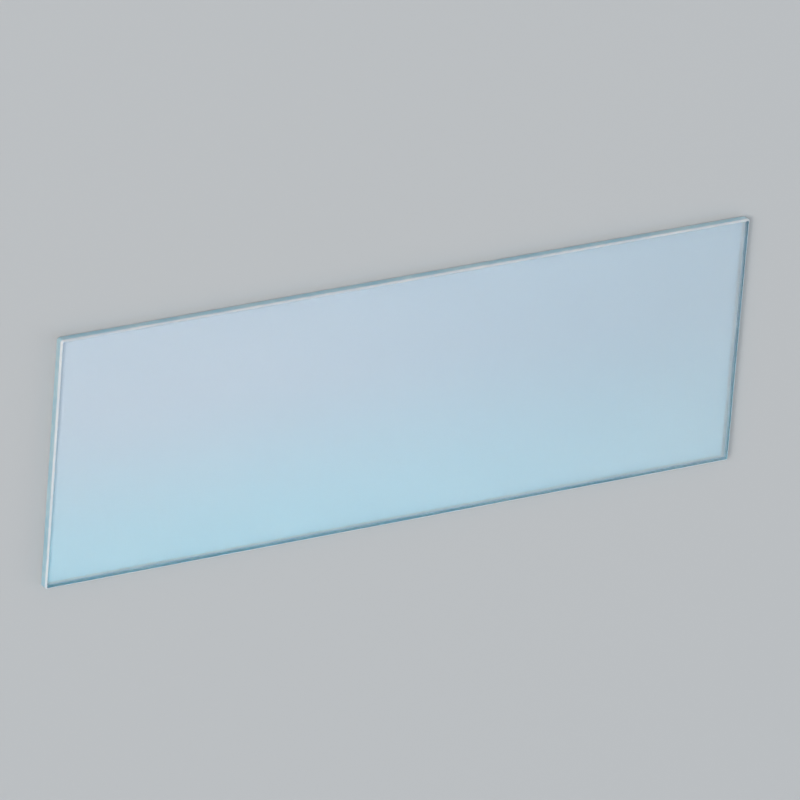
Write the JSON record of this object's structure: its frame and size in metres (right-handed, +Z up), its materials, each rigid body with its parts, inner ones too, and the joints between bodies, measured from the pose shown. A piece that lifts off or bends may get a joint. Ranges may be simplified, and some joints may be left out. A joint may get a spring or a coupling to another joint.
{
  "type": "microscope slide",
  "caption": "Thin rectangular pane of clear glass with polished faces and ground edges, which carries a specimen under a microscope.",
  "frame": {"origin": "centre of the lower face, which the slide lies on", "axes": "+X along the length, +Y across the width, +Z up through the thickness, out of the specimen face"},
  "size_m": [0.0762, 0.0254, 0.001],
  "materials": {
    "glass": "polished faces with a faint teal tint, matt ground edges"
  },
  "bodies": {
    "root": {"glass_slide": "glass"}
  },
  "joints": []
}
